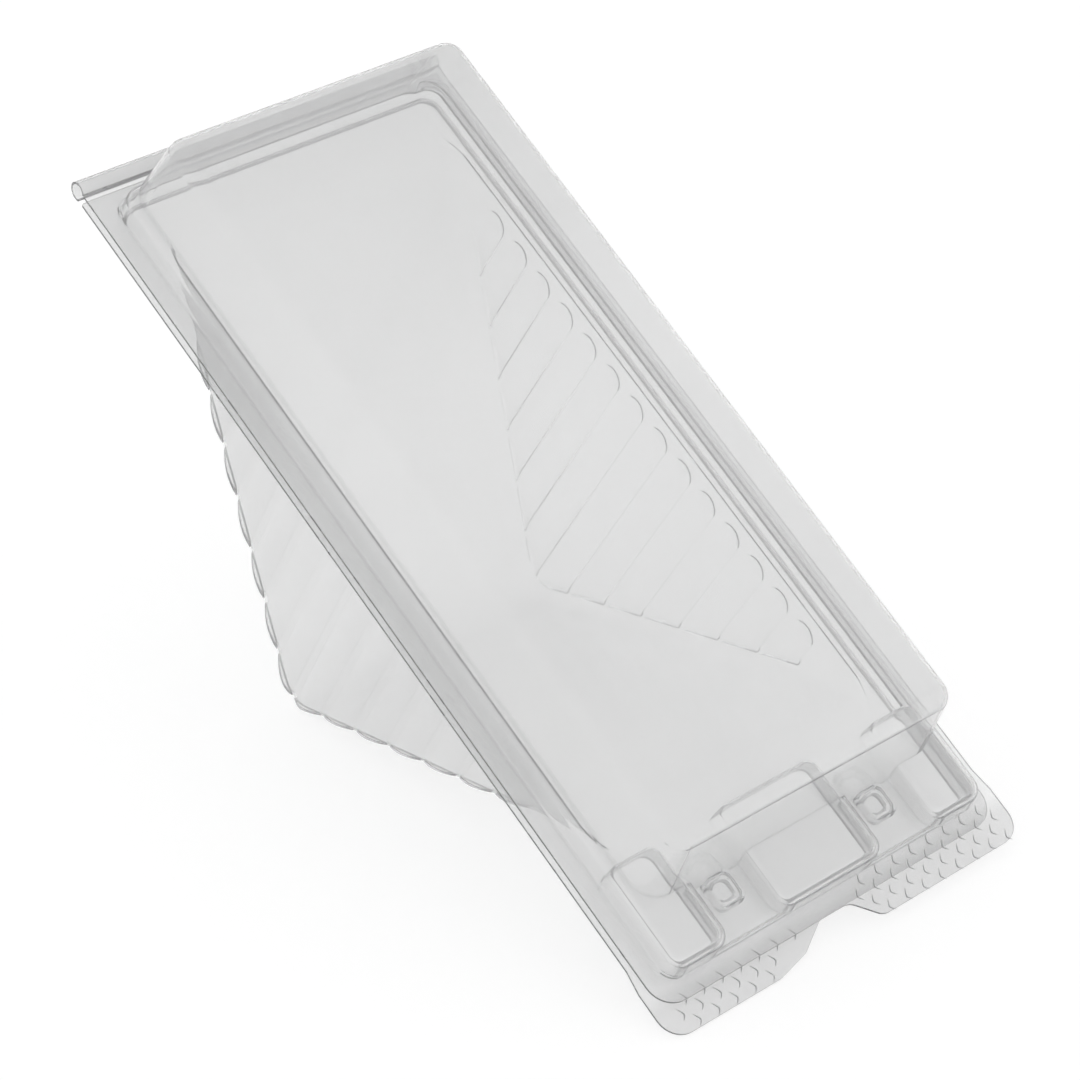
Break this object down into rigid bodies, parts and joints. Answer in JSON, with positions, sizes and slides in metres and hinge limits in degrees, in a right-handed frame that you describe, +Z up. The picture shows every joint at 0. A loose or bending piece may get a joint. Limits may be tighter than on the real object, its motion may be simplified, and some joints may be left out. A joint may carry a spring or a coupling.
{
  "type": "plastic clamshell pack",
  "caption": "Clear hinged wedge pack: a flanged tray with a fluted triangular pocket, closed by a stepped lid on a living hinge with press buttons and grip tabs.",
  "frame": {"origin": "centre of the closed pack's footprint box, on the surface it rests on", "axes": "+Z up; +X from the high hinge end to the low opening end with the grip tabs; +Y across the pack"},
  "size_m": [0.1652, 0.085, 0.1099],
  "materials": {
    "clear_sheet_tray": "clear thermoformed sheet",
    "clear_sheet_lid": "clear thermoformed sheet"
  },
  "bodies": {
    "base_tray": {"base_tray": "clear_sheet_tray"},
    "lid": {"lid": "clear_sheet_lid"}
  },
  "joints": [
    {"name": "lid_hinge", "type": "hinge", "parent": "base_tray", "child": "lid", "pos_m": [-0.08067, 0, 0.09639], "axis": [0, -1, 0], "range_deg": [0, 180]}
  ]
}
